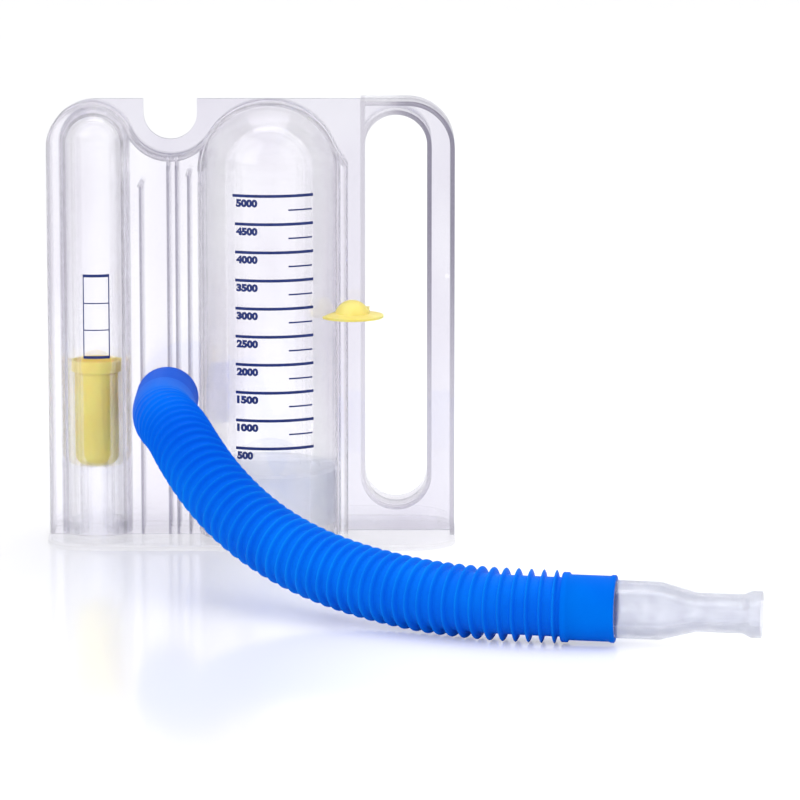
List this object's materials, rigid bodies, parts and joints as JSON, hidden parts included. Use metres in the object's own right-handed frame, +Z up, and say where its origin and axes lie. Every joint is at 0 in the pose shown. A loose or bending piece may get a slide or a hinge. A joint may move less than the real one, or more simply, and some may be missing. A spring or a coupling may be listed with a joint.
{
  "type": "incentive spirometer",
  "caption": "Clear breathing exerciser with a flow tube and cup, a wide piston chamber with a printed scale, a sliding goal pointer, a side handle and a corrugated hose with mouthpiece.",
  "frame": {"origin": "centre of the foot plate's underside, in the plane where the two case shells are welded", "axes": "+Z up, -Y towards the user, who faces the scale and the hose port, +X towards the handle"},
  "size_m": [0.3068, 0.2806, 0.1984],
  "materials": {
    "clear_case": "polished moulding",
    "clear_foot": "polished moulding",
    "clear_fitting": "polished moulding",
    "milky_piston": "thin translucent moulding",
    "yellow_cup": "satin moulding",
    "yellow_pointer": "gloss moulding",
    "blue_hose": "satin soft plastic",
    "milky_mouthpiece": "frosted moulding"
  },
  "bodies": {
    "case": {"case_front": "clear_case", "case_rear": "clear_case", "base_plate": "clear_foot", "hose_port": "clear_fitting", "flow_seat": "clear_fitting", "hose_cuff_case": "blue_hose", "hose_tube": "blue_hose", "hose_cuff_mouth": "blue_hose"},
    "piston": {"volume_piston": "milky_piston"},
    "cup": {"flow_cup": "yellow_cup"},
    "pointer": {"goal_pointer": "yellow_pointer"},
    "mouth": {"mouthpiece": "milky_mouthpiece"}
  },
  "joints": [
    {"name": "piston_rise", "type": "slide", "parent": "case", "child": "piston", "axis": [0, 0, 1], "range_m": [0, 0.132]},
    {"name": "cup_rise", "type": "slide", "parent": "case", "child": "cup", "axis": [0, 0, 1], "range_m": [0, 0.1]},
    {"name": "pointer_slide", "type": "slide", "parent": "case", "child": "pointer", "axis": [0, 0, 1], "range_m": [-0.062, 0.06]},
    {"name": "mouthpiece_pull", "type": "slide", "parent": "case", "child": "mouth", "axis": [0.9905, -0.1371, -0.0093], "range_m": [0, 0.02]}
  ]
}
